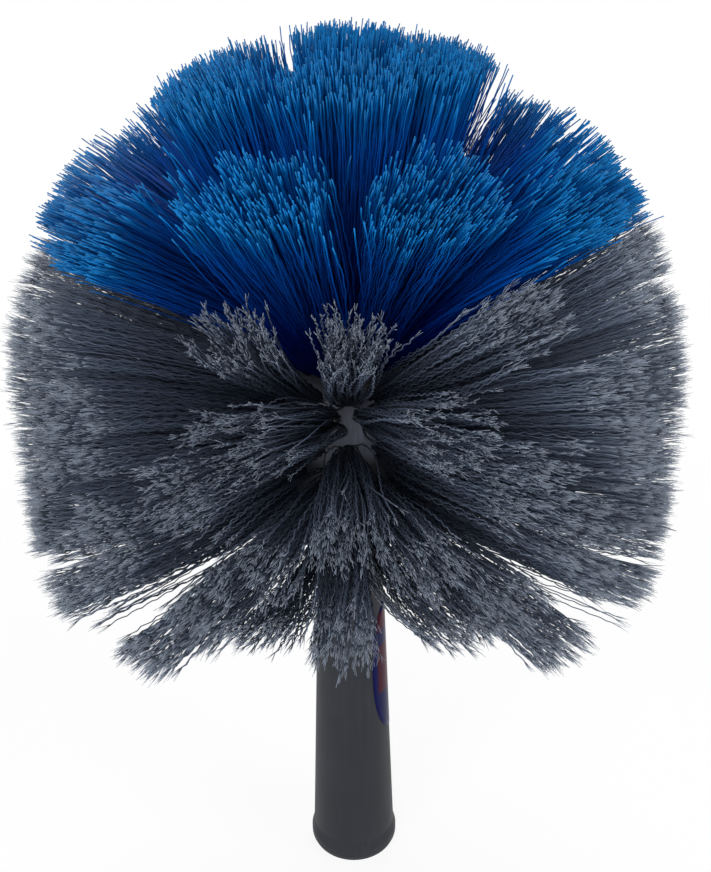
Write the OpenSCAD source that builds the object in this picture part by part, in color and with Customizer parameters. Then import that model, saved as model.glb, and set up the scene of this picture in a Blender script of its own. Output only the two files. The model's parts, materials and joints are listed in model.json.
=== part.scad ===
// Cobweb brush head for a push-on pole.
// One plastic moulding carries everything: a drilled block with a domed top, and a
// tapered socket below it. Bristle tufts are folded in half, pushed into the blind
// holes and pinned there by short flat wire anchors. The tips are trimmed to a dome.
// The origin is the centre of the socket's mouth, and +Z points to the brush's tip.

/* [Block] */
// Radius of the block's domed top
dome_r = 23.5; // [23:0.5:25]
// Height of the dome's centre above the socket's mouth
dome_z = 193; // [190:1:196]
// Radius of the tapered drum's lower edge
drum_r = 27; // [26:0.5:30]
// Height of the tapered drum below the dome
drum_h = 39; // [37:1:42]
// Height of the cone from the drum down to the neck
fairing_h = 12; // [10:1:20]

/* [Socket] */
// Outside diameter of the socket at its mouth, without the collar
socket_mouth_d = 33.2; // [32:0.2:36]
// Outside diameter of the socket where it meets the block
socket_neck_d = 22.9; // [22:0.1:25]
// Outside diameter of the collar round the mouth
collar_d = 34.6; // [34:0.2:38]
// Height of the collar's widest part
collar_h = 4.5; // [3:0.5:8]
// Height of the slope from the collar up to the socket
collar_slope = 4; // [1:0.5:6]
// Rounding of the collar's lower edge
collar_round = 2; // [1:0.5:2.5]
// Diameter of the larger pole that the mouth takes
pole_d = 25; // [22:0.5:26]
// Length of the larger seat
pole_seat = 42; // [30:1:50]
// Diameter of the smaller pole that the inner seat takes
slim_pole_d = 22; // [19:0.5:22]
// Length of the smaller seat
slim_pole_seat = 47; // [30:1:50]
// Running clearance on the diameter of a pole
pole_clearance = 0.2; // [0.1:0.05:0.4]
// Length of the taper between two steps of the bore
step_lead = 3; // [2:0.5:5]
// Diameter of the blind core that keeps the plastic thin
core_d = 17; // [12:0.5:18]
// Height of the core's closed end above the drum's lower edge
core_rise = 34; // [10:1:40]

/* [Tufts] */
// Tufts in each ring, from the tip of the brush down
ring_counts = [1, 6, 10, 12, 12, 14, 14, 16, 16];
// Rings on the dome, counting the single tuft on its top
dome_rings = 4; // [3:1:4]
// Rings of blue tufts, from the tip down; the others are grey
blue_rings = 3; // [0:1:9]
// Angle from one ring to the next on the dome
dome_step = 19.5; // [19:0.5:21]
// Height of the first drum ring above the dome's centre
drum_ring_rise = 5.5; // [3:0.5:6]
// Distance from one drum ring to the next
drum_ring_pitch = 9.6; // [9:0.1:10]
// Upward slant of the holes in the first drum ring
first_slant = 20.8; // [15:0.1:22]
// Upward slant of the holes in the last drum ring
last_slant = -1; // [-5:0.5:5]
// Radius of the trimmed tips round the axis
trim_r = 110; // [100:1:120]
// Height of the trimmed dome's centre above the block's dome centre
trim_rise = 14; // [5:1:20]
// Share of the spacing between tufts that their tips fill
tip_fill = 0.8; // [0.3:0.05:0.9]

/* [Holes and folds] */
// Diameter of a tuft hole
hole_d = 4.4; // [4.2:0.1:4.6]
// Depth of a tuft hole along its axis
hole_depth = 8; // [6.5:0.5:8.5]
// Clearance round a fold and an anchor in their hole
fold_clearance = 0.08; // [0.05:0.01:0.15]
// Height of the folded root at the bottom of its hole
fold_h = 1.6; // [1:0.1:2.5]
// Distance from the tuft's axis to each of its strands
strand_offset = 1.02; // [1:0.01:1.05]
// Radius of a strand at its fold
strand_root_r = 0.55; // [0.5:0.01:0.58]
// Radius of a strand in the hole's mouth
strand_mouth_r = 0.75; // [0.6:0.05:0.9]
// Radius of a strand at its flagged tip
strand_tip_r = 1.9; // [1:0.1:2.2]
// Thickness of an anchor
anchor_t = 0.4; // [0.3:0.05:0.5]
// Height of an anchor along the hole
anchor_h = 2; // [1.5:0.1:3]

/* [Label] */
// Height of the label's lower edge above the mouth
label_z = 58; // [20:1:70]
// Height of the label
label_h = 60; // [30:1:70]
// Angle that the label covers round the socket
label_angle = 104; // [60:2:180]
// Thickness of the label
label_t = 0.15; // [0.1:0.05:0.3]
// Thickness of the glue under the label
glue_t = 0.03; // [0.02:0.01:0.05]

/* [Hidden] */
$fn = 64;
STRANDS = 4;
SIDES = 3;
DRILL_RUN_OUT = 4;
SIDE_NAMES = ["right", "back", "left", "front"];
RINGS = len(ring_counts);
BLUE = "#0b62ab";
GREY = "#4a4c57";

drum_z = dome_z - drum_h;
neck_z = drum_z - fairing_h;
trim_z = dome_z + trim_rise;
slant_step = (first_slant - last_slant) / (RINGS - dome_rings - 1);
fold_r = hole_d / 2 - fold_clearance;
dome_tip_gap = trim_r * dome_step * PI / 180;

// Outside radius of the bare socket at height z
function socket_r(z) =
    (socket_mouth_d + (socket_neck_d - socket_mouth_d) * z / neck_z) / 2;

// Outside radius of the block at height z
function block_r(z) =
    z > dome_z
    ? sqrt(dome_r ^ 2 - (z - dome_z) ^ 2)
    : drum_r + (dome_r - drum_r) * (z - drum_z) / drum_h;

function drum_ring_z(ring) =
    dome_z + drum_ring_rise - drum_ring_pitch * (ring - dome_rings);

// Angle between the brush's axis and the holes of a ring
function ring_tilt(ring) =
    ring < dome_rings
    ? ring * dome_step
    : 90 - first_slant + slant_step * (ring - dome_rings);

// Distance from the axis and height of the hole mouths of a ring
function ring_root(ring) =
    ring < dome_rings
    ? [dome_r * sin(ring * dome_step), dome_z + dome_r * cos(ring * dome_step)]
    : [block_r(drum_ring_z(ring)), drum_ring_z(ring)];

// Every second ring is turned by half a pitch, and a tuft of ring 4 is on either side
// of the -Y axis
function tuft_turn(ring, i) =
    (i + (ring % 2 == 0 ? 0.5 : 0)) * 360 / ring_counts[ring] - 90;

function turned(p, angle) =
    [p.x * cos(angle) - p.y * sin(angle), p.x * sin(angle) + p.y * cos(angle), p.z];

// A point moved straight out from the axis or the dome's centre to the trimmed tips
function trimmed(p) =
    p.z > trim_z
    ? [0, 0, trim_z] + trim_r * (p - [0, 0, trim_z]) / norm(p - [0, 0, trim_z])
    : [p.x * trim_r / norm([p.x, p.y]), p.y * trim_r / norm([p.x, p.y]), p.z];

// Length from a hole's mouth to the trimmed tips, along the hole's axis
function free_length(ring) =
    let (
        root = ring_root(ring),
        tilt = ring_tilt(ring),
        to_wall = (trim_r - root.x) / max(sin(tilt), 0.001),
        rise = root.y - trim_z,
        along = root.x * sin(tilt) + rise * cos(tilt),
        to_dome = -along + sqrt(along ^ 2 + trim_r ^ 2 - root.x ^ 2 - rise ^ 2)
    )
    root.y + to_wall * cos(tilt) > trim_z ? to_dome : to_wall;

// Half of the width and half of the height that a tuft's strands spread to at the tips
function tip_spread(ring) =
    let (tip_x = ring_root(ring).x + free_length(ring) * sin(ring_tilt(ring)))
    tip_fill / 4 * [
        ring == 0 ? dome_tip_gap : 2 * PI * tip_x / ring_counts[ring],
        ring < dome_rings ? dome_tip_gap : drum_tip_gap()
    ];

// Distance between the tips of the last two rings
function drum_tip_gap() =
    drum_ring_pitch
    + (trim_r - drum_r) * (tan(last_slant + slant_step) - tan(last_slant));

// A point of a tuft in the part's frame: x goes round the axis, y up the brush's side
// and z out of the hole, from the middle of the hole's mouth
function placed(ring, p) =
    let (root = ring_root(ring), tilt = ring_tilt(ring))
    [
        root.x - p.y * cos(tilt) + p.z * sin(tilt),
        p.x,
        root.y + p.y * sin(tilt) + p.z * cos(tilt)
    ];

// The three corners of a strand: its middle lies at centre, the first corner points back
// to the tuft's axis
function strand_corners(centre, angle, r) =
    [for (k = [0:SIDES - 1]) centre + r * turned([-1, 0, 0], angle + k * 360 / SIDES)];

// The three sections of one strand: on its fold, in the hole's mouth and at its tip
function strand_points(ring, s) =
    let (
        angle = (s + 0.5) * 360 / STRANDS,
        offset = turned([strand_offset, 0, 0], angle),
        spread = tip_spread(ring),
        reach = [sign(offset.x) * spread.x, sign(offset.y) * spread.y, free_length(ring)],
        tip = trimmed(placed(ring, reach)),
        shift = tip - placed(ring, reach),
        fold_top = -hole_depth + fold_clearance + fold_h
    )
    concat(
        [for (p = strand_corners(offset + [0, 0, fold_top], angle, strand_root_r))
            placed(ring, p)],
        [for (p = strand_corners(offset, angle, strand_mouth_r)) placed(ring, p)],
        [for (p = strand_corners(reach, angle, strand_tip_r)) placed(ring, p) + shift]
    );

// The fold is a square prism: its two middles, its bottom rim and its top rim
function fold_points(ring) =
    let (
        bottom = -hole_depth + fold_clearance,
        rim = [for (k = [0:STRANDS - 1]) turned([fold_r, 0, 0], k * 360 / STRANDS)]
    )
    concat(
        [placed(ring, [0, 0, bottom]), placed(ring, [0, 0, bottom + fold_h])],
        [for (p = rim) placed(ring, p + [0, 0, bottom])],
        [for (p = rim) placed(ring, p + [0, 0, bottom + fold_h])]
    );

function tuft_points(ring, i) =
    let (upright = concat(
        fold_points(ring),
        [for (s = [0:STRANDS - 1]) each strand_points(ring, s)]
    ))
    [for (p = upright) turned(p, tuft_turn(ring, i))];

// The two triangles between points a, b and points c, d, seen from outside
function quad(a, b, c, d) = [[a, b, c], [a, c, d]];

// The faces of one strand and of its quarter of the fold, with the tuft's first point at 0
function strand_faces(s) =
    let (
        next = (s + 1) % STRANDS,
        low = 2 + s,
        low_next = 2 + next,
        top = 2 + STRANDS + s,
        top_next = 2 + STRANDS + next,
        first = 2 + 2 * STRANDS + 3 * SIDES * s
    )
    concat(
        [[0, low, low_next]],
        quad(low, top, top_next, low_next),
        quad(1, first, first + 1, top),
        quad(top, first + 1, first + 2, top_next),
        quad(top_next, first + 2, first, 1),
        [for (level = [0, SIDES], k = [0:SIDES - 1])
            let (a = first + level + k, b = first + level + (k + 1) % SIDES)
            each quad(a, a + SIDES, b + SIDES, b)],
        [[first + 2 * SIDES, first + 2 * SIDES + 2, first + 2 * SIDES + 1]]
    );

TUFT_POINTS = 2 + 2 * STRANDS + 3 * SIDES * STRANDS;
TUFT_FACES = [for (s = [0:STRANDS - 1]) each strand_faces(s)];

// Tufts of a ring whose holes open to one side of the block, or all of them
function tufts_facing(ring, side) =
    [for (i = [0:ring_counts[ring] - 1])
        if (side == "" || side == SIDE_NAMES[floor((tuft_turn(ring, i) + 405) % 360 / 90)]) i];

function tuft_node(ring, side) =
    str(ring < blue_rings ? "blue" : "grey", "_tufts_", ring + 1, side == "" ? "" : "_", side);

// The two rings at the tip are one node each, the others have one node for each side
function sides(ring) = ring < 2 ? [""] : SIDE_NAMES;

// Puts its children at a hole's mouth, with +Z out of the hole
module at_hole(ring, i) {
    root = ring_root(ring);
    rotate(tuft_turn(ring, i))
        translate([root.x, 0, root.y])
            rotate([0, ring_tilt(ring), 0])
                children();
}

module collar_profile() {
    collar_r = collar_d / 2;
    collar_top = collar_h + collar_slope;
    polygon([
        [0, 0],
        [collar_r - collar_round, 0],
        [collar_r, collar_round],
        [collar_r, collar_h],
        [socket_r(collar_top), collar_top],
        [0, collar_top]
    ]);
    translate([collar_r - collar_round, collar_round]) circle(collar_round);
}

module outside_profile() {
    polygon([
        [0, 0],
        [socket_r(0), 0],
        [socket_r(neck_z), neck_z],
        [drum_r, drum_z],
        [dome_r, dome_z],
        [0, dome_z]
    ]);
    collar_profile();
    intersection() {
        translate([0, dome_z]) circle(dome_r);
        translate([0, dome_z]) square(dome_r);
    }
}

// The stepped bore: two seats for poles, then the blind core
module bore_profile() {
    seat_r = (pole_d + pole_clearance) / 2;
    slim_r = (slim_pole_d + pole_clearance) / 2;
    core_r = core_d / 2;
    slim_z = pole_seat + step_lead;
    core_z = slim_z + slim_pole_seat;
    core_top = drum_z + core_rise;
    polygon([
        [0, -1],
        [seat_r, -1],
        [seat_r, pole_seat],
        [slim_r, slim_z],
        [slim_r, core_z],
        [core_r, core_z + step_lead],
        [core_r, core_top - core_r / 2],
        [core_r / 2, core_top],
        [0, core_top]
    ]);
}

module head() {
    color("#3d3f47")
        difference() {
            rotate_extrude()
                difference() {
                    outside_profile();
                    bore_profile();
                }
            for (ring = [0:RINGS - 1], i = [0:ring_counts[ring] - 1])
                at_hole(ring, i)
                    translate([0, 0, -hole_depth])
                        cylinder(d = hole_d, h = hole_depth + DRILL_RUN_OUT);
        }
}

module label() {
    z0 = label_z;
    z1 = label_z + label_h;
    color("#1d2a78")
        rotate(-label_angle / 2)
            rotate_extrude(angle = label_angle)
                polygon([
                    [socket_r(z0) + glue_t, z0],
                    [socket_r(z0) + glue_t + label_t, z0],
                    [socket_r(z1) + glue_t + label_t, z1],
                    [socket_r(z1) + glue_t, z1]
                ]);
}

// Flat wire standing on edge across each fold, between its strands
module anchors(ring) {
    lift = fold_clearance + fold_h + fold_clearance - hole_depth;
    color("#b9b7ae")
        for (i = [0:ring_counts[ring] - 1])
            at_hole(ring, i)
                translate([-anchor_t / 2, -fold_r, lift])
                    cube([anchor_t, 2 * fold_r, anchor_h]);
}

// Each tuft is one closed shell: a folded root that carries its strands
module tufts(ring, side) {
    chosen = tufts_facing(ring, side);
    color(ring < blue_rings ? BLUE : GREY)
        polyhedron(
            points = [for (i = chosen) each tuft_points(ring, i)],
            faces = [for (n = [0:len(chosen) - 1], face = TUFT_FACES)
                [for (corner = face) corner + n * TUFT_POINTS]]
        );
}

head();
label();
for (ring = [0:RINGS - 1]) {
    anchors(ring);
    for (side = sides(ring))
        tufts(ring, side);
}
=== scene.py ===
import json
import math

import bpy
import numpy as np
from mathutils import Matrix, Vector

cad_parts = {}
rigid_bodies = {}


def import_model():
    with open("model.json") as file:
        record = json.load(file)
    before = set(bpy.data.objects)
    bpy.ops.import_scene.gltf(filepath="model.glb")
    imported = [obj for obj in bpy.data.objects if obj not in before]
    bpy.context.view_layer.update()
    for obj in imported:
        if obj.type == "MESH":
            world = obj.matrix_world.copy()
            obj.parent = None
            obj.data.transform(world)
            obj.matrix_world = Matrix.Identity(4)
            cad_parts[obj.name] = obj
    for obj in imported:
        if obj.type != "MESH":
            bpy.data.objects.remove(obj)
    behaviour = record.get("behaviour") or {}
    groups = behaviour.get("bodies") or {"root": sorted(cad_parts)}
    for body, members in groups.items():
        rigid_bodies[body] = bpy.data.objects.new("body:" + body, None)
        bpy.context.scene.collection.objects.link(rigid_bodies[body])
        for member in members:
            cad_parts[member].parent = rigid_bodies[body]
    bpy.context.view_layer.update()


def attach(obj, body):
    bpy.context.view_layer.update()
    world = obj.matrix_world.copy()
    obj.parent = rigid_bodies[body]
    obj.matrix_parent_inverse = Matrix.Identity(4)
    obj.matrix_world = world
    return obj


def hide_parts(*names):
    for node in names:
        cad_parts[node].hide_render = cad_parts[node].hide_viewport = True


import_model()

# Socket and bristle block: one injection moulding in dark grey polypropylene, drilled
# for the tufts. The skin is satin, a little cloudy where the melt flowed, and rubbed
# in fine lengthwise lines by the poles and hands that hold it.


def linear(colour):
    """An sRGB hex colour as linear RGBA."""
    parts = [int(colour[i : i + 2], 16) / 255 for i in (1, 3, 5)]
    return [c / 12.92 if c <= 0.04045 else ((c + 0.055) / 1.055) ** 2.4 for c in parts] + [1]


def add(tree, kind, inputs=None, stops=None, **settings):
    """A new node with its settings. Inputs are values or the sockets linked to them."""
    made = tree.nodes.new("ShaderNode" + kind)
    for name, value in settings.items():
        setattr(made, name, value)
    for key, value in (inputs or {}).items():
        if isinstance(value, bpy.types.NodeSocket):
            tree.links.new(value, made.inputs[key])
        else:
            made.inputs[key].default_value = value
    if stops:
        points = made.color_ramp.elements
        while len(points) < len(stops):
            points.new(1)
        for point, (place, colour) in zip(points, stops):
            point.position = place
            point.color = linear(colour)
    return made


def material(name):
    """A new material with an empty node tree, and that tree."""
    made = bpy.data.materials.new(name)
    made.use_nodes = True
    made.node_tree.nodes.clear()
    return made, made.node_tree


POLYPROPYLENE_IOR = 1.49
FLOW_M = 0.022  # width of the cloudy flow marks
RUB_M = 0.0009  # distance between rubbed lines
RUB_LENGTH_M = 0.05
GRAIN_M = 0.0006  # the mould's fine grain, drawn coarser than it is so that it shows
GRAIN_DEPTH_M = 0.0002
GRAIN_STRENGTH = 0.12
CLOUDS = (0.7, 1.3)  # flow marks and rubs added up, from the darkest shade to the lightest
SKIN_SHADES = [(0, "#202227"), (0.6, "#25272d"), (1, "#2b2d34")]
RUB_RANGE = (0.3, 0.7)  # the part of the rubs that changes the gloss
SATIN = (0.48, 0.6)  # roughness at either end of that range
SKIN_SHINE = 0.2
BARE_Z_M = 0.196  # middle of the block's bare band, which shows between the tufts
BARE_HALF_M = 0.009  # half the height of that band
BARE_FADE_M = 0.013  # distance from its middle where it has faded out
BLOCK_PALE = 6.0  # little light gets down to the band, so it is drawn paler

moulded, tree = material("moulded_polypropylene")
place = add(tree, "TexCoord").outputs["Object"]
flow = add(tree, "TexNoise", {"Vector": place, "Scale": 1 / FLOW_M, "Detail": 3.0})
stretch = (1 / RUB_M, 1 / RUB_M, 1 / RUB_LENGTH_M)
lengthwise = add(tree, "Mapping", {"Vector": place, "Scale": stretch})
rubs = add(tree, "TexNoise", {"Vector": lengthwise.outputs[0], "Scale": 1.0, "Detail": 2.0})
grain = add(tree, "TexNoise", {"Vector": place, "Scale": 1 / GRAIN_M, "Detail": 1.0})
shade = add(tree, "Math", {0: flow.outputs["Fac"], 1: rubs.outputs["Fac"]}, operation="ADD")
shade = add(
    tree,
    "MapRange",
    {"Value": shade.outputs[0], "From Min": CLOUDS[0], "From Max": CLOUDS[1]},
)
skin = add(tree, "ValToRGB", {"Fac": shade.outputs[0]}, stops=SKIN_SHADES)
high = add(tree, "SeparateXYZ", {"Vector": place})
off = add(tree, "Math", {0: high.outputs["Z"], 1: BARE_Z_M}, operation="SUBTRACT")
off = add(tree, "Math", {0: off.outputs[0]}, operation="ABSOLUTE")
pale = add(
    tree,
    "MapRange",
    {
        "Value": off.outputs[0],
        "From Min": BARE_HALF_M,
        "From Max": BARE_FADE_M,
        "To Min": BLOCK_PALE,
        "To Max": 1.0,
    },
)
skin = add(tree, "VectorMath", {0: skin.outputs[0], "Scale": pale.outputs[0]}, operation="SCALE")
gloss = add(
    tree,
    "MapRange",
    {
        "Value": rubs.outputs["Fac"],
        "From Min": RUB_RANGE[0],
        "From Max": RUB_RANGE[1],
        "To Min": SATIN[0],
        "To Max": SATIN[1],
    },
)
relief = add(
    tree,
    "Bump",
    {"Height": grain.outputs["Fac"], "Strength": GRAIN_STRENGTH, "Distance": GRAIN_DEPTH_M},
)
plastic = add(
    tree,
    "BsdfPrincipled",
    {
        "Base Color": skin.outputs[0],
        "Roughness": gloss.outputs[0],
        "IOR": POLYPROPYLENE_IOR,
        "Specular IOR Level": SKIN_SHINE,
        "Normal": relief.outputs[0],
    },
)
add(tree, "OutputMaterial", {"Surface": plastic.outputs[0]})

head = bpy.data.objects["head"]
head.data.materials.clear()
head.data.materials.append(moulded)

# Label: a printed plastic film with round ends, glued on the right of the socket.
# It is plain, with two red fields on dark blue, under a glossy varnish.

NECK_Z, MOUTH_R, NECK_R = 142.0, 16.6, 11.45  # the socket's taper, in millimetres
LABEL_MID_Z, LABEL_HALF_H = 88.0, 30.0
LABEL_HALF_ANGLE = 54.0
LABEL_T, GLUE_T = 0.15, 0.03
ROUNDNESS = 2.4  # 2 is an oval, and a large number is a rectangle
FILM_RINGS, FILM_AROUND = 10, 72  # rings of points from the film's middle to its edge
RED_FIELDS = ((88.5, 10.5), (109.5, 4.0))  # middle and half height, in millimetres
RED_BLUR = 0.1  # width of a field's edge, in millimetres
RED_HALF_ANGLE, RED_END_ANGLE = 0.745, 0.752  # where a field starts and ends its fade, in radians
INKS = [(0, "#0d1040"), (1, "#3c0d21")]


def make_mesh(name, points, faces_of_4, faces_of_3, corners=None):
    """A mesh from points in millimetres, with a texture place for each face's corner."""
    mesh = bpy.data.meshes.new(name)
    loops = np.concatenate([faces_of_4.ravel(), faces_of_3.ravel()])
    four, three = len(faces_of_4), len(faces_of_3)
    starts = np.concatenate([np.arange(four) * 4, four * 4 + np.arange(three) * 3])
    mesh.vertices.add(len(points))
    mesh.vertices.foreach_set("co", (points * 0.001).astype(np.float32).ravel())
    mesh.loops.add(len(loops))
    mesh.loops.foreach_set("vertex_index", loops.astype(np.int32))
    mesh.polygons.add(four + three)
    mesh.polygons.foreach_set("loop_start", starts.astype(np.int32))
    mesh.update(calc_edges=True)
    mesh.polygons.foreach_set("use_smooth", np.ones(four + three, dtype=bool))
    if corners is not None:
        layer = mesh.uv_layers.new(name="OFBake")
        layer.data.foreach_set("uv", corners.astype(np.float32).ravel())
    mesh.update()
    made = bpy.data.objects.new(name, mesh)
    bpy.context.collection.objects.link(made)
    return made


def label_skin(lift):
    """Points of the film at a distance over the socket: its middle, then ring by ring."""
    out = np.linspace(0, 1, FILM_RINGS + 1)[1:, None]
    turn = np.arange(FILM_AROUND) / FILM_AROUND * 2 * np.pi
    c, s = np.cos(turn), np.sin(turn)
    edge = (np.abs(c) ** ROUNDNESS + np.abs(s) ** ROUNDNESS) ** (-1 / ROUNDNESS)
    angle = np.radians(LABEL_HALF_ANGLE) * out * edge * c
    z = LABEL_MID_Z + LABEL_HALF_H * out * edge * s
    angle, z = np.append(0, angle.ravel()), np.append(LABEL_MID_Z, z.ravel())
    r = MOUTH_R + (NECK_R - MOUTH_R) * z / NECK_Z + lift
    return np.stack([r * np.cos(angle), r * np.sin(angle), z], 1)


inner, outer = label_skin(GLUE_T), label_skin(GLUE_T + LABEL_T)
half = len(inner)
k = np.arange(FILM_AROUND)
k2 = (k + 1) % FILM_AROUND
rows = []
for j in range(FILM_RINGS - 1):
    near, far = 1 + j * FILM_AROUND, 1 + (j + 1) * FILM_AROUND
    rows.append(np.stack([near + k, far + k, far + k2, near + k2], 1))
rows = np.concatenate(rows)
last = 1 + (FILM_RINGS - 1) * FILM_AROUND
rim = np.stack([last + k, last + k2, last + k2 + half, last + k + half], 1)
fan = np.stack([0 * k, 1 + k, 1 + k2], 1)
film = make_mesh(
    "label_film",
    np.concatenate([inner, outer]),
    np.concatenate([rows[:, ::-1], rows + half, rim]),
    np.concatenate([fan[:, ::-1], fan + half]),
)

printed, tree = material("printed_polypropylene_film")
place = add(tree, "TexCoord").outputs["Object"]
parts = add(tree, "SeparateXYZ", {"Vector": place})
angle = add(
    tree, "Math", {0: parts.outputs["Y"], 1: parts.outputs["X"]}, operation="ARCTAN2"
)
fields = []
for z_mm, half_mm in RED_FIELDS:
    up = add(tree, "Math", {0: parts.outputs["Z"], 1: z_mm / 1000}, operation="SUBTRACT")
    up = add(tree, "Math", {0: up.outputs[0]}, operation="ABSOLUTE")
    edges = {"From Min": (half_mm + RED_BLUR) / 1000, "From Max": half_mm / 1000}
    fields.append(add(tree, "MapRange", {"Value": up.outputs[0], **edges}))
side = add(tree, "Math", {0: angle.outputs[0]}, operation="ABSOLUTE")
side = add(
    tree,
    "MapRange",
    {"Value": side.outputs[0], "From Min": RED_END_ANGLE, "From Max": RED_HALF_ANGLE},
)
red = add(tree, "Math", {0: fields[0].outputs[0], 1: fields[1].outputs[0]}, operation="MAXIMUM")
red = add(tree, "Math", {0: red.outputs[0], 1: side.outputs[0]}, operation="MULTIPLY")
ink = add(tree, "ValToRGB", {"Fac": red.outputs[0]}, stops=INKS)
varnish = add(
    tree,
    "BsdfPrincipled",
    {
        "Base Color": ink.outputs[0],
        "Roughness": 0.3,
        "IOR": 1.5,
        "Specular IOR Level": 0.05,
    },
)
add(tree, "OutputMaterial", {"Surface": varnish.outputs[0]})
film.data.materials.append(printed)
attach(film, "root")
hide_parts("label")

# Anchors: short lengths of flat galvanised steel wire, cut off and pressed edgewise
# over each folded tuft. The zinc is dull and faintly mottled.

RINGS = 9  # rings of tufts, from the brush's tip down
SPANGLE_M = 0.0012
ZINC_SHADES = [(0.3, "#a9a8a2"), (0.7, "#c2c0b8")]

wire, tree = material("galvanised_steel_wire")
place = add(tree, "TexCoord").outputs["Object"]
spangle = add(tree, "TexNoise", {"Vector": place, "Scale": 1 / SPANGLE_M})
zinc = add(tree, "ValToRGB", {"Fac": spangle.outputs["Fac"]}, stops=ZINC_SHADES)
steel = add(
    tree,
    "BsdfPrincipled",
    {"Base Color": zinc.outputs[0], "Metallic": 1.0, "Roughness": 0.38},
)
add(tree, "OutputMaterial", {"Surface": steel.outputs[0]})
for ring in range(RINGS):
    anchor = bpy.data.objects[f"anchors_{ring + 1}"]
    anchor.data.materials.clear()
    anchor.data.materials.append(wire)

# Tufts: crimped polypropylene fibres, folded in half in their hole and trimmed to one
# dome. The fibres leave the hole as a tight bundle, nest wave in wave and fan out. Blue
# tips are cut square, and grey ones are flagged: split into finer hairs. In millimetres.

# Rings, holes and trim are those of the CAD
RING_COUNTS = [1, 6, 10, 12, 12, 14, 14, 16, 16]  # tufts in each ring, from the tip down
BLUE_RINGS = 3
DOME_R, DOME_Z = 23.5, 193.0  # the block's domed top
DOME_RINGS, DOME_STEP = 4, 19.5  # rings on the dome, and the angle from one to the next
DRUM_R, DRUM_Z = 27.0, 154.0  # lower edge of the block's tapered drum
FIRST_RING_Z, RING_PITCH = 198.5, 9.6  # rings on the drum
FIRST_SLANT, SLANT_STEP = 20.8, 5.45  # their holes slant up, less from ring to ring
TRIM_R, TRIM_Z = 110.0, 207.0  # the tips are cut to a cylinder, and over TRIM_Z to a ball

# Numbers below were chosen for the way the bristles of the real brush lie
LONGEST, HALVINGS = 160.0, 20  # the trim is sought within this length of the hole
TRIM_INSET, TRIM_SCATTER = 0.5, 1.0  # the cut ends lie unevenly, just inside the trim
BUNDLE_R = 2.1  # radius of the bundle in the hole's mouth
START = -1.8  # the fibres are drawn from just inside the hole
COMMON_SPREAD = (11, 10, 10)  # the spread of a ring that has none of its own
LOCK = 5  # fibres that cling together at their tips
TIP_SCATTER = 0.9  # how far tips lie from their even places
LEAN_SCATTER = 1.2  # how far a whole tuft leans by chance
TIP_LIMIT = 1.4  # most that a lock goes up or down, as a share of the tuft's spread
LEAST_SPLAY = 1.2  # a loose lock stands this much further out than it would
LOOSE_BOW = 0.6  # it leaves its tuft early: 1 is straight, and less bows more
HELD_ANGLE = 45  # grey tufts within this angle of the front keep their loose locks closer
HELD_SPLAY, HELD_BOW = 1.6, 0.45
BEND_POWER = 1.6  # a leaning tuft curves, mostly near its tips
WANDER = (0.9, 0.45, 0.25, 0.9)  # a fibre's bows of 1, 2 and 3 half waves, and its drift
STRAY_FACTOR = 6  # a stray fibre drifts this much further
STEPS_PER_WAVE = 3  # points that a fibre has on each crimp
CRIMP_RANGE = (0.8, 1.2)  # least and greatest crimp of a fibre, as a share
CRIMP_FADE = 4  # length over which the crimp starts
PLANE_SCATTER, PLANE_TWIST = 0.35, 0.5  # how the crimp's plane differs and turns, in radians
PHASES, PHASE_SCATTER = 6, 0.5  # how waves differ from tuft to tuft and in a tuft, in radians
HAIR_LENGTHS = (0.5, 1.1)  # shortest and longest hair, as a share of the flag
HAIR_PARTS = (0.0, 0.5, 1.0)  # a hair's three points along its length
HAIR_TAPER = (1.4, 1.1, 0.6)  # thickness at these points
HAIR_LEAN, HAIR_KINK = 0.1, 0.07  # slope away from the fibre, and sideways kink half way
HAIR_OVERLAP = 0.3  # a hair starts this far inside its fibre's end
SHADES = 16  # a tuft's fibres are dyed in this many slightly different shades
SHADE_STRIP = (0.15, 0.85)  # part of its shade's strip of texture that a fibre covers
FIBRE_U, HAIR_U = (0.02, 0.90), (0.91, 0.98)  # texture along a fibre and along its hairs
FIBRE_ROUGHNESS = 0.45
SIDES = ["right", "back", "left", "front"]


def trim_distance(start, way):
    """Distance from start points along unit directions to the trimmed tips."""
    near, far = np.zeros(len(way)), np.full(len(way), LONGEST)
    for _ in range(HALVINGS):
        middle = (near + far) / 2
        point = start + middle[:, None] * way
        rise = np.maximum(point[:, 2] - TRIM_Z, 0)
        inside = np.hypot(np.hypot(point[:, 0], point[:, 1]), rise) < TRIM_R
        near, far = np.where(inside, middle, near), np.where(inside, far, middle)
    return near


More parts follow.
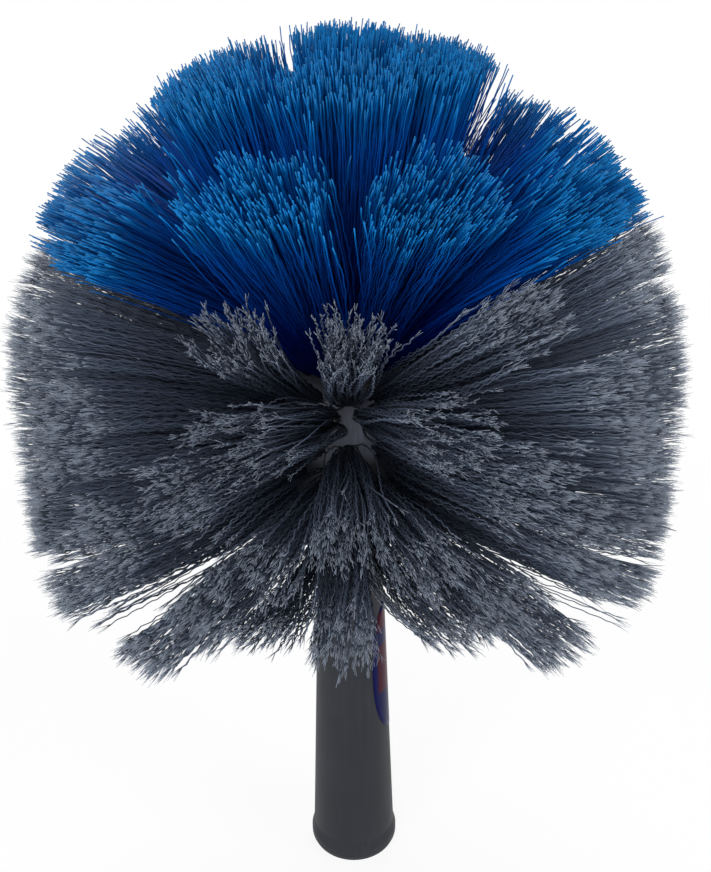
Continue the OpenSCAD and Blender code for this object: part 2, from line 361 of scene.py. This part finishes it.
def tubes(paths, radii, across, up, u_range, shades):
    """Three-sided tubes along paths, closed at both ends, with u along and v by shade."""
    count, steps = paths.shape[:2]
    turn = np.arange(3) * 2 * np.pi / 3
    round_ = np.cos(turn)[:, None] * across + np.sin(turn)[:, None] * up
    points = paths[:, :, None, :] + radii[None, :, None, None] * round_
    index = np.arange(count * steps * 3).reshape(count, steps, 3)
    nxt = np.roll(index, -1, axis=2)
    four = np.stack([index[:, :-1], nxt[:, :-1], nxt[:, 1:], index[:, 1:]], -1)
    three = np.stack([index[:, 0, ::-1], index[:, -1]], 1)
    first_u, last_u = u_range
    u = first_u + (last_u - first_u) * np.arange(steps) / (steps - 1)
    low, high = [(shades + edge) / SHADES for edge in SHADE_STRIP]
    uv4 = np.empty((count, steps - 1, 3, 4, 2))
    uv4[..., 0, 0] = uv4[..., 1, 0] = u[None, :-1, None]
    uv4[..., 2, 0] = uv4[..., 3, 0] = u[None, 1:, None]
    uv4[..., 0, 1] = uv4[..., 3, 1] = low[:, None, None]
    uv4[..., 1, 1] = uv4[..., 2, 1] = high[:, None, None]
    uv3 = np.empty((count, 2, 3, 2))
    uv3[:, 0, :, 0] = [u[0], u[0], u[1]]
    uv3[:, 1, :, 0] = [u[-1], u[-1], u[-2]]
    uv3[:, :, 0, 1] = uv3[:, :, 2, 1] = low[:, None]
    uv3[:, :, 1, 1] = high[:, None]
    return (
        points.reshape(-1, 3),
        four.reshape(-1, 4),
        three.reshape(-1, 3),
        uv4.reshape(-1, 2),
        uv3.reshape(-1, 2),
    )


def ring_seat(ring):
    """Distance from the axis, height and tilt of a ring's holes."""
    if ring < DOME_RINGS:
        tilt = np.radians(ring * DOME_STEP)
        return DOME_R * np.sin(tilt), DOME_Z + DOME_R * np.cos(tilt), tilt
    z = FIRST_RING_Z - RING_PITCH * (ring - DOME_RINGS)
    r = DRUM_R + (DOME_R - DRUM_R) * (z - DRUM_Z) / (DOME_Z - DRUM_Z)
    if z > DOME_Z:
        r = math.sqrt(DOME_R**2 - (z - DOME_Z) ** 2)
    return r, z, np.radians(90 - FIRST_SLANT + SLANT_STEP * (ring - DOME_RINGS))


def turn_of(ring, i):
    """Angle of a tuft round the axis in degrees, where -90 is the front."""
    return (i + (0.5 if ring % 2 == 0 else 0)) * 360 / RING_COUNTS[ring] - 90


def side_of(turn):
    """Name of the quarter that a tuft at this angle faces, 45 degrees either way."""
    return SIDES[int((turn + 405) % 360 // 90)]


def tuft(ring, i, fibre):
    """A tuft's tubes: all its fibres, then one hair of every flagged tip at a time."""
    rng = np.random.default_rng(1000 * ring + i)
    spreads = fibre["spreads"]
    wide, down, rise = spreads.get((ring, i), spreads.get(ring, COMMON_SPREAD))
    count = fibre["count"]
    root_r, root_z, tilt = ring_seat(ring)
    turn = np.radians(turn_of(ring, i))
    out = np.array([np.cos(turn), np.sin(turn), 0])
    across = np.array([-np.sin(turn), np.cos(turn), 0])
    axis = out * np.sin(tilt) + [0, 0, np.cos(tilt)]
    up = -out * np.cos(tilt) + [0, 0, np.sin(tilt)]
    mouth = out * root_r + [0, 0, root_z]

    def on_disc(n):
        r, way = np.sqrt(rng.random(n)), rng.random(n) * 2 * np.pi
        return np.stack([r * np.cos(way), r * np.sin(way)], 1)

    def placed(side, along):
        return mouth + side[..., :1] * across + side[..., 1:] * up + along[..., None] * axis

    # Fibres cling to their nearest lock, and a loose lock stands out of the tuft
    disc, locks = on_disc(count), on_disc(count // LOCK)
    mine = np.linalg.norm(disc[:, None] - locks, axis=2).argmin(1)
    from_front = abs((turn_of(ring, i) + 270) % 360 - 180)
    held = ring >= BLUE_RINGS and from_front < HELD_ANGLE
    most_splay, bow = (HELD_SPLAY, HELD_BOW) if held else (fibre["splay"], LOOSE_BOW)
    loose = rng.random(len(locks)) < fibre["loose"]
    splay = np.where(loose, rng.uniform(LEAST_SPLAY, most_splay, len(locks)), 1)[mine]
    root = disc * BUNDLE_R
    tip = locks[mine] * splay[:, None] + (disc - locks[mine]) * fibre["even"]
    high = np.where(tip[:, 1] > 0, rise, down)
    tip = np.stack([tip[:, 0] * wide, TIP_LIMIT * high * np.tanh(tip[:, 1] / TIP_LIMIT)], 1)
    tip += rng.normal(0, TIP_SCATTER, (count, 2))
    bend = np.array(fibre["bends"].get((ring, i), (0, 0))) + rng.normal(0, LEAN_SCATTER, 2)

    # Each fibre ends where its way out meets the trim
    length = trim_distance(mouth[None], axis[None])[0]
    aim = tip + bend
    heading = aim[:, :1] * across + aim[:, 1:] * up + length * axis
    heading /= np.linalg.norm(heading, axis=1)[:, None]
    reach = trim_distance(placed(root, np.zeros(count)), heading) * (heading @ axis)
    tip, bend = tip * (reach / length)[:, None], bend * (reach / length)[:, None]
    reach = reach - fibre["flag"] - TRIM_INSET + rng.normal(0, TRIM_SCATTER, count)

    # On its way from root to tip it bows, bends, wanders and drifts
    steps = int(round((reach.mean() - START) / fibre["wave"] * STEPS_PER_WAVE)) + 1
    along = START + (reach[:, None] - START) * np.arange(steps) / (steps - 1)
    share = np.clip(along / reach[:, None], 0, None)[:, :, None]
    power = np.where(splay > 1, bow, 1.0)[:, None, None]
    side = root[:, None, :] * (1 - share) + tip[:, None, :] * share**power
    side = side + bend[:, None, :] * share**BEND_POWER
    sizes = np.array(WANDER)[:, None, None, None]
    *bows, drift = rng.normal(0, 1, (len(WANDER), count, 1, 2)) * sizes
    drift[rng.random(count) < fibre["stray"]] *= STRAY_FACTOR
    for half_waves, size in enumerate(bows, 1):
        side = side + size * np.sin(half_waves * np.pi * share)
    side = side + drift * share**2

    # A tuft is crimped as one, so its waves nest but for a little scatter
    plane = rng.random() * np.pi + rng.normal(0, PLANE_SCATTER, (count, 1))
    plane = plane + rng.normal(0, PLANE_TWIST, (count, 1)) * share[:, :, 0]
    phase = along / fibre["wave"] * 2 * np.pi + rng.random() * PHASES
    beat = np.sin(phase + rng.normal(0, PHASE_SCATTER, (count, 1)))
    swing = fibre["crimp"] * rng.uniform(*CRIMP_RANGE, (count, 1))
    crimp = swing * beat * np.clip((along - START) / CRIMP_FADE, 0, 1)
    crimped = side + np.stack([np.cos(plane), np.sin(plane)], 2) * crimp[:, :, None]
    shades = rng.integers(0, SHADES, count)
    radii = np.full(steps, fibre["radius"])
    made = [tubes(placed(crimped, along), radii, across, up, FIBRE_U, shades)]

    # Each hair of a flagged tip goes on from its fibre's end with a slope of its own
    lean = (side[:, -1] - side[:, -4]) / (along[:, -1] - along[:, -4])[:, None]
    part = np.array(HAIR_PARTS)
    for _ in range(fibre["hairs"]):
        hair = fibre["flag"] * rng.uniform(*HAIR_LENGTHS, count)
        slope = lean + rng.normal(0, HAIR_LEAN, (count, 2))
        sway = slope[:, None, :] * (hair[:, None] * part)[:, :, None]
        sway[:, 1] += rng.normal(0, HAIR_KINK, (count, 2))
        hair_side = crimped[:, -1][:, None, :] + sway
        hair_along = along[:, -1][:, None] - HAIR_OVERLAP + hair[:, None] * part
        radii = fibre["hair_radius"] * np.array(HAIR_TAPER)
        made.append(tubes(placed(hair_side, hair_along), radii, across, up, HAIR_U, shades))
    return made


def tuft_piece(name, nodes, members, look):
    """One piece from the tubes of some tufts."""
    made = [bundle for member in members for bundle in member]
    starts = np.cumsum([0] + [len(bundle[0]) for bundle in made])
    points = np.concatenate([bundle[0] for bundle in made])
    fours = np.concatenate([bundle[1] + start for bundle, start in zip(made, starts)])
    threes = np.concatenate([bundle[2] + start for bundle, start in zip(made, starts)])
    corners = np.concatenate([bundle[3] for bundle in made] + [bundle[4] for bundle in made])
    piece = make_mesh(name, points, fours, threes, corners)
    piece.data.materials.append(look)
    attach(piece, "root")
    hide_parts(*nodes)


def fibre_material(name, stops, levels, shine):
    """Crimped fibre: the ramp runs from root to tip, and v picks the dye lot's level. Its darkening
    toward the root is painted shade.
    """
    made, tree = material(name)
    uv = add(tree, "UVMap", uv_map="OFBake")
    parts = add(tree, "SeparateXYZ", {"Vector": uv.outputs[0]})
    # painted shade: the ramp draws each fibre darker toward its root, where the tufts shade it
    root_shade_ramp = add(tree, "ValToRGB", {"Fac": parts.outputs["X"]}, stops=stops)
    lot = add(tree, "Math", {0: parts.outputs["Y"], 1: float(SHADES)}, operation="MULTIPLY")
    lot = add(tree, "Math", {0: lot.outputs[0]}, operation="FLOOR")
    lot = add(tree, "TexWhiteNoise", {"W": lot.outputs[0]}, noise_dimensions="1D")
    level = add(
        tree,
        "MapRange",
        {"Value": lot.outputs["Value"], "To Min": levels[0], "To Max": levels[1]},
    )
    colour = add(tree, "HueSaturation", {"Color": root_shade_ramp.outputs[0], "Value": level.outputs[0]})
    body = add(
        tree,
        "BsdfPrincipled",
        {
            "Base Color": colour.outputs[0],
            "Roughness": FIBRE_ROUGHNESS,
            "IOR": POLYPROPYLENE_IOR,
            "Specular IOR Level": shine,
        },
    )
    add(tree, "OutputMaterial", {"Surface": body.outputs[0]})
    return made


# The crown: seventeen tufts dyed blue, on the three rings at the tip. A spread is how far
# tips reach across, down and up from their tuft's middle, in a whole ring or in one tuft.
# A bend is how far the tips of one tuft lean round the brush and up its side.

BLUE = {
    "count": 436,  # fibres in a tuft
    "radius": 0.22,
    "wave": 12.0,  # length of one crimp wave
    "crimp": 0.26,  # how far it swings to either side
    "hairs": 0,  # hairs that each tip is split into
    "flag": 0.0,  # length of the split tip
    "even": 0.86,  # 1 spreads tips evenly, and 0 draws each lock together
    "loose": 0.2,  # share of the locks that are loose
    "splay": 2.0,  # most that a loose lock stands further out
    "stray": 0.006,  # share of the fibres that stray
    "spreads": {
        0: (17, 17, 17),
        1: (21, 15, 15),
        (1, 1): (17, 13, 15),
        (1, 2): (16, 14, 15),
        (1, 4): (24, 15, 15),
        2: (21, 9, 17),
        (2, 1): (21, 8, 22),
        (2, 2): (21, 8, 26),
        (2, 3): (15, 16, 16),
        (2, 4): (18, 8, 16),
        (2, 6): (20, 13, 21),
        (2, 7): (22, 8, 25),
        (2, 8): (21, 8, 24),
    },
    "bends": {
        (1, 1): (-8, 4),
        (1, 2): (0, 2),
        (1, 4): (-5, -7),
        (1, 5): (0, -9),
        (2, 0): (0, -4),
        (2, 1): (0, -17),
        (2, 2): (0, -22),
        (2, 3): (-8, -5),
        (2, 4): (-2, 0),
        (2, 5): (0, 5),
        (2, 6): (6, -13),
        (2, 7): (0, -26),
        (2, 8): (0, -23),
        (2, 9): (0, -5),
    },
}
blue_fibre = fibre_material(
    "blue_polypropylene_fibre",
    # painted shade darkens the blue toward the roots, and painted light brightens the cut tips
    stops=[(0.0, "#020948"), (0.35, "#001f74"), (0.75, "#00459a"), (0.86, "#005a9f"), (0.9, "#086aa7")],
    levels=(0.7, 1.3),
    shine=0.12,
)
for name, ring, chosen in (
    ("blue_fibres_1", 0, [0]),
    ("blue_fibres_2_front", 1, [0, 1, 5]),
    ("blue_fibres_2_back", 1, [2, 3, 4]),
    ("blue_fibres_3_right", 2, [1, 2, 3]),
    ("blue_fibres_3_back", 2, [4, 5]),
    ("blue_fibres_3_left", 2, [6, 7, 8]),
    ("blue_fibres_3_front", 2, [9, 0]),
):
    node = name.replace("fibres", "tufts") if ring == 2 else f"blue_tufts_{ring + 1}"
    members = [tuft(ring, i, BLUE) for i in chosen]
    tuft_piece(name, [node], members, blue_fibre)

# The skirt: eighty-four tufts dyed dark grey, on six rings from the dome's edge down.

GREY = {
    "count": 128,
    "radius": 0.21,
    "wave": 5.6,
    "crimp": 0.32,
    "hairs": 5,
    "hair_radius": 0.08,
    "flag": 5.5,
    "even": 0.78,
    "loose": 0.4,
    "splay": 2.8,
    "stray": 0.012,
    "spreads": {
        3: (11.5, 11, 9),
        (3, 0): (8, 9, 6),
        (3, 1): (11.5, 11, 7),
        (3, 10): (11.5, 11, 7),
        (3, 11): (11.5, 11, 7),
        (5, 0): (10, 10, 6),
        (7, 0): (9, 9, 10),
        8: (10, 5, 6),
    },
    "bends": {
        (3, 0): (0, 3),
        (3, 1): (0, 4),
        (3, 3): (0, -2),
        (3, 4): (0, 4),
        (3, 5): (-2, 16),
        (3, 8): (0, 2),
        (3, 9): (0, -12),
        (3, 10): (4, -10),
        (3, 11): (21, 5),
        (5, 0): (0, -6),
        (7, 0): (-2.5, 2),
        (8, 0): (6, 14),
        (8, 15): (-4, 15),
    },
}
grey_fibre = fibre_material(
    "grey_polypropylene_fibre",
    # painted shade darkens the grey toward the roots; the pale end is the flagged tips' own whiter
    # colour
    stops=[(0.0, "#191e29"), (0.35, "#3f4758"), (0.78, "#5b6679"), (0.9, "#6b7585"), (0.97, "#7f8896")],
    levels=(0.75, 1.25),
    shine=0.3,
)
for ring in range(BLUE_RINGS, RINGS):
    for side in SIDES:
        chosen = [i for i in range(RING_COUNTS[ring]) if side_of(turn_of(ring, i)) == side]
        tuft_piece(
            f"grey_fibres_{ring + 1}_{side}",
            [f"grey_tufts_{ring + 1}_{side}"],
            [tuft(ring, i, GREY) for i in chosen],
            grey_fibre,
        )

# Floor and light: a plain white floor in a white room. A small lamp in front reaches the
# block between the tufts, and three large soft ones stand on the left, right and behind.

FLOOR_SIZE, FLOOR_Z = 12, -0.0002
FLOOR_NEAR, FLOOR_FAR = 0.2, 0.5  # the floor takes some shadow up to these distances
FLOOR_SHARES = (0.86, 1.0)  # how much of its white is its own light, near and far
ROOM_DIM, ROOM_BRIGHT = 0.33, 1.0  # the room as a light, and as it is seen
LAMP_AIM = (0, 0, 0.19)


def seen_share(tree):
    """Socket that is 1 for what the camera, a reflection or a see-through surface shows."""
    ray = add(tree, "LightPath")
    camera_or_glossy = add(
        tree,
        "Math",
        {0: ray.outputs["Is Camera Ray"], 1: ray.outputs["Is Glossy Ray"]},
        operation="ADD",
    )
    seen = add(
        tree,
        "Math",
        {0: camera_or_glossy.outputs[0], 1: ray.outputs["Is Transmission Ray"]},
        operation="ADD",
        use_clamp=True,
    )
    return seen.outputs[0]


paper, tree = material("white_paper_floor")
place = add(tree, "TexCoord").outputs["Object"]
spot = add(tree, "VectorMath", {0: place}, operation="LENGTH")
share = add(
    tree,
    "MapRange",
    {
        "Value": spot.outputs["Value"],
        "From Min": FLOOR_NEAR,
        "From Max": FLOOR_FAR,
        "To Min": FLOOR_SHARES[0],
        "To Max": FLOOR_SHARES[1],
    },
)
share = add(tree, "Math", {0: seen_share(tree), 1: share.outputs[0]}, operation="MULTIPLY")
matt = add(tree, "BsdfDiffuse", {"Color": linear("#fafafa")})
white = add(tree, "Emission", {"Color": (1, 1, 1, 1), "Strength": 1.0})
mixed = add(tree, "MixShader", {0: share.outputs[0], 1: matt.outputs[0], 2: white.outputs[0]})
add(tree, "OutputMaterial", {"Surface": mixed.outputs[0]})
bpy.ops.mesh.primitive_plane_add(size=FLOOR_SIZE, location=(0, 0, FLOOR_Z))
floor = bpy.context.object
floor.name = "floor"
floor.data.materials.append(paper)

world = bpy.data.worlds.new("white_room")
bpy.context.scene.world = world
world.use_nodes = True
tree = world.node_tree
tree.nodes.clear()
dim = add(tree, "Background", {"Color": (1, 1, 1, 1), "Strength": ROOM_DIM})
bright = add(tree, "Background", {"Color": (1, 1, 1, 1), "Strength": ROOM_BRIGHT})
mixed = add(tree, "MixShader", {0: seen_share(tree), 1: dim.outputs[0], 2: bright.outputs[0]})
add(tree, "OutputWorld", {"Surface": mixed.outputs[0]})

for name, place, size, power in (
    ("front", (-0.06, -0.95, 0.68), 0.25, 3.3),
    ("key", (-0.5, -0.9, 0.5), 0.6, 6.0),
    ("fill", (0.88, -0.5, 0.58), 0.6, 3.8),
    ("back", (0.0, 0.8, 1.0), 0.8, 7.0),
):
    lamp = bpy.data.lights.new(name, "AREA")
    lamp.size = size
    lamp.energy = power
    carrier = bpy.data.objects.new(name, lamp)
    carrier.location = place
    aim = Vector(LAMP_AIM) - carrier.location
    carrier.rotation_euler = aim.to_track_quat("-Z", "Y").to_euler()
    bpy.context.collection.objects.link(carrier)

# Camera: 25 degrees above the plane across the brush, close to it, with the brush a
# little off the middle of the frame and turned by less than a degree.

FRAME_W, FRAME_H = 711, 872
FOCAL_PX = 1065
AIM_Z, AIM_X_PX, AIM_Y_PX = 0.187, 348, 425
DISTANCE = 0.368
ELEVATION = math.radians(25)
ROLL = math.radians(-0.86)
SENSOR_MM = 24
CLIP_START = 0.01

camera = bpy.data.cameras.new("camera")
camera.sensor_fit = "VERTICAL"
camera.sensor_width = camera.sensor_height = SENSOR_MM
camera.lens = SENSOR_MM * FOCAL_PX / FRAME_H
camera.shift_x = (FRAME_W / 2 - AIM_X_PX) / FRAME_H
camera.shift_y = -(FRAME_H / 2 - AIM_Y_PX) / FRAME_H
camera.clip_start = CLIP_START
viewer = bpy.data.objects.new("camera", camera)
back = (0, -math.cos(ELEVATION) * DISTANCE, AIM_Z + math.sin(ELEVATION) * DISTANCE)
viewer.matrix_world = (
    Matrix.Translation(back)
    @ Matrix.Rotation(math.pi / 2 - ELEVATION, 4, "X")
    @ Matrix.Rotation(ROLL, 4, "Z")
)
bpy.context.collection.objects.link(viewer)
bpy.context.scene.camera = viewer
bpy.context.scene.view_settings.view_transform = "Standard"
